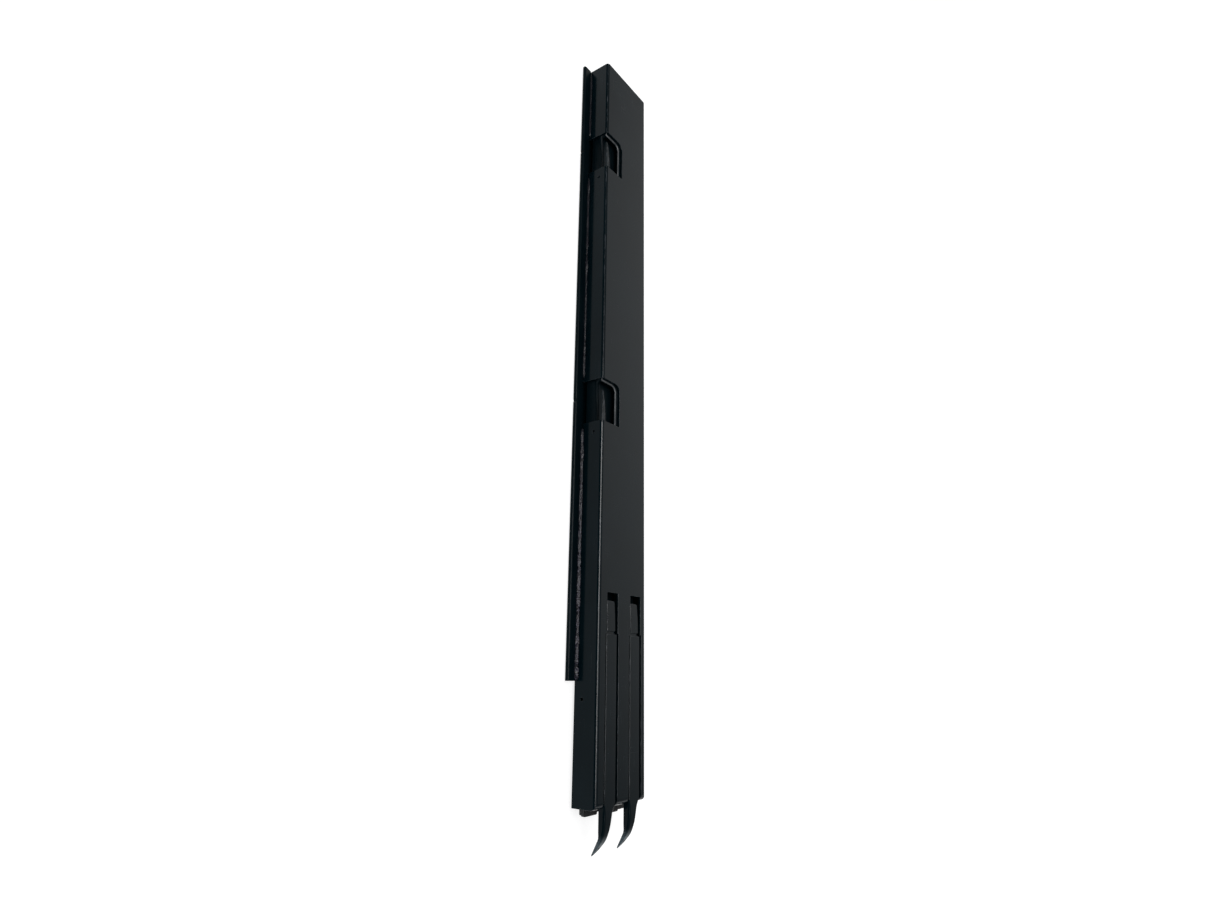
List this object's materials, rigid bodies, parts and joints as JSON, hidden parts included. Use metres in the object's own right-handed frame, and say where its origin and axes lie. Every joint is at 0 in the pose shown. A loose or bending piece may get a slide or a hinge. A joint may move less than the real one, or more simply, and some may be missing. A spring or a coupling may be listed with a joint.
{
  "type": "cabinet drawer slide",
  "caption": "Black three-member telescopic drawer slide: boxed drawer channel with two bayonet notches and two curved release levers, on a shorter mounting plate.",
  "frame": {"origin": "centre of the mounting plate's rear face, which goes against the cabinet wall", "axes": "+X across the slide, +Y along it to the rear of the cabinet, +Z away from the cabinet wall to the drawer"},
  "size_m": [0.065, 0.5346, 0.0188],
  "materials": {
    "black_coated_steel": "satin black coating",
    "zinc_steel": "zinc plated",
    "bearing_steel": "polished",
    "black_nylon": "matte",
    "black_rubber": "matte"
  },
  "bodies": {
    "cabinet_member": {"cabinet_mounting_plate": "black_coated_steel", "cabinet_rail": "black_coated_steel", "cabinet_rivet_1": "zinc_steel", "cabinet_rivet_2": "zinc_steel", "cabinet_rivet_3": "zinc_steel", "cabinet_rivet_4": "zinc_steel", "cabinet_rear_bumper": "black_rubber", "cabinet_front_stop": "zinc_steel"},
    "intermediate_member": {"intermediate_rail": "black_coated_steel", "intermediate_front_bumper": "black_rubber", "intermediate_stop": "zinc_steel", "intermediate_front_stop": "zinc_steel"},
    "drawer_member": {"drawer_channel": "black_coated_steel", "drawer_rail": "black_coated_steel", "drawer_stop": "zinc_steel", "lever_pivot_pin_left": "zinc_steel", "lever_pivot_pin_right": "zinc_steel", "lever_spring_left": "zinc_steel", "lever_spring_right": "zinc_steel"},
    "left_lever": {"release_lever_left": "black_coated_steel"},
    "right_lever": {"release_lever_right": "black_coated_steel"},
    "inner_cage_left": {"inner_ball_cage_left": "black_nylon", "inner_ball_left_1": "bearing_steel", "inner_ball_left_2": "bearing_steel", "inner_ball_left_3": "bearing_steel", "inner_ball_left_4": "bearing_steel", "inner_ball_left_5": "bearing_steel", "inner_ball_left_6": "bearing_steel", "inner_ball_left_7": "bearing_steel"},
    "outer_cage_left": {"outer_ball_cage_left": "black_nylon", "outer_ball_left_1": "bearing_steel", "outer_ball_left_2": "bearing_steel", "outer_ball_left_3": "bearing_steel", "outer_ball_left_4": "bearing_steel", "outer_ball_left_5": "bearing_steel", "outer_ball_left_6": "bearing_steel", "outer_ball_left_7": "bearing_steel"},
    "inner_cage_right": {"inner_ball_cage_right": "black_nylon", "inner_ball_right_1": "bearing_steel", "inner_ball_right_2": "bearing_steel", "inner_ball_right_3": "bearing_steel", "inner_ball_right_4": "bearing_steel", "inner_ball_right_5": "bearing_steel", "inner_ball_right_6": "bearing_steel", "inner_ball_right_7": "bearing_steel"},
    "outer_cage_right": {"outer_ball_cage_right": "black_nylon", "outer_ball_right_1": "bearing_steel", "outer_ball_right_2": "bearing_steel", "outer_ball_right_3": "bearing_steel", "outer_ball_right_4": "bearing_steel", "outer_ball_right_5": "bearing_steel", "outer_ball_right_6": "bearing_steel", "outer_ball_right_7": "bearing_steel"}
  },
  "joints": [
    {"name": "intermediate_slide", "type": "slide", "parent": "cabinet_member", "child": "intermediate_member", "axis": [0, -1, 0], "range_m": [0, 0.23]},
    {"name": "drawer_slide", "type": "slide", "parent": "intermediate_member", "child": "drawer_member", "axis": [0, -1, 0], "range_m": [0, 0.27]},
    {"name": "inner_cage_left_roll", "type": "slide", "parent": "cabinet_member", "child": "inner_cage_left", "axis": [0, -1, 0], "range_m": [0, 0.115]},
    {"name": "outer_cage_left_roll", "type": "slide", "parent": "intermediate_member", "child": "outer_cage_left", "axis": [0, -1, 0], "range_m": [0, 0.135]},
    {"name": "inner_cage_right_roll", "type": "slide", "parent": "cabinet_member", "child": "inner_cage_right", "axis": [0, -1, 0], "range_m": [0, 0.115]},
    {"name": "outer_cage_right_roll", "type": "slide", "parent": "intermediate_member", "child": "outer_cage_right", "axis": [0, -1, 0], "range_m": [0, 0.135]},
    {"name": "left_lever_pivot", "type": "hinge", "parent": "drawer_member", "child": "left_lever", "pos_m": [-0.01105, -0.227, 0.0144], "axis": [1, 0, 0], "range_deg": [0, 2.2], "stiffness_Nm_per_rad": 0.9, "springref_deg": -3.44},
    {"name": "right_lever_pivot", "type": "hinge", "parent": "drawer_member", "child": "right_lever", "pos_m": [0.01355, -0.227, 0.0144], "axis": [1, 0, 0], "range_deg": [0, 2.2], "stiffness_Nm_per_rad": 0.9, "springref_deg": -3.44}
  ],
  "couplings": [
    {"joint": "inner_cage_left_roll", "follows": "intermediate_slide", "ratio": 0.5},
    {"joint": "outer_cage_left_roll", "follows": "drawer_slide", "ratio": 0.5},
    {"joint": "inner_cage_right_roll", "follows": "intermediate_slide", "ratio": 0.5},
    {"joint": "outer_cage_right_roll", "follows": "drawer_slide", "ratio": 0.5}
  ]
}
